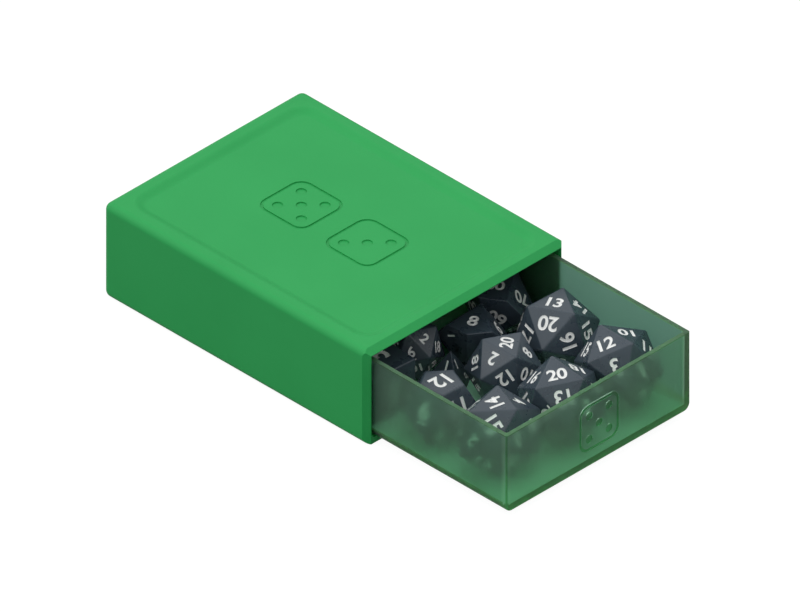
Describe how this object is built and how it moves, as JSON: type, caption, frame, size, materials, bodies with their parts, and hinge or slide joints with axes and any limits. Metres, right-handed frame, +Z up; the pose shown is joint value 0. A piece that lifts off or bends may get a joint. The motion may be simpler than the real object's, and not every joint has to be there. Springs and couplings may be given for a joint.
{
  "type": "dice storage chest",
  "caption": "Opaque matchbox-style sleeve with a frosted see-through drawer that slides out, holding loose polyhedral dice.",
  "frame": {"origin": "centre of the sleeve's underside", "axes": "+X along the drawer's travel, out of the mouth; +Y across the width; +Z up"},
  "size_m": [0.1504, 0.0756, 0.0306],
  "materials": {
    "opaque_green": "fine satin moulded green",
    "frosted_green": "frosted see-through green",
    "charcoal": "matte charcoal with white numbers",
    "number_white": "matte white ink in the engraved numbers"
  },
  "bodies": {
    "sleeve": {"sleeve": "opaque_green"},
    "drawer": {"drawer": "frosted_green", "d20_front_left": "charcoal", "d20_front_middle": "charcoal", "d20_front_right": "charcoal", "d20_middle": "charcoal", "d20_right": "charcoal", "d20_small": "charcoal", "d12": "charcoal", "d10_tens": "charcoal", "d10_units": "charcoal", "d6": "charcoal", "d4": "charcoal"}
  },
  "joints": [
    {"name": "drawer_slide", "type": "slide", "parent": "sleeve", "child": "drawer", "axis": [1, 0, 0], "range_m": [-0.0504, 0.015]}
  ]
}
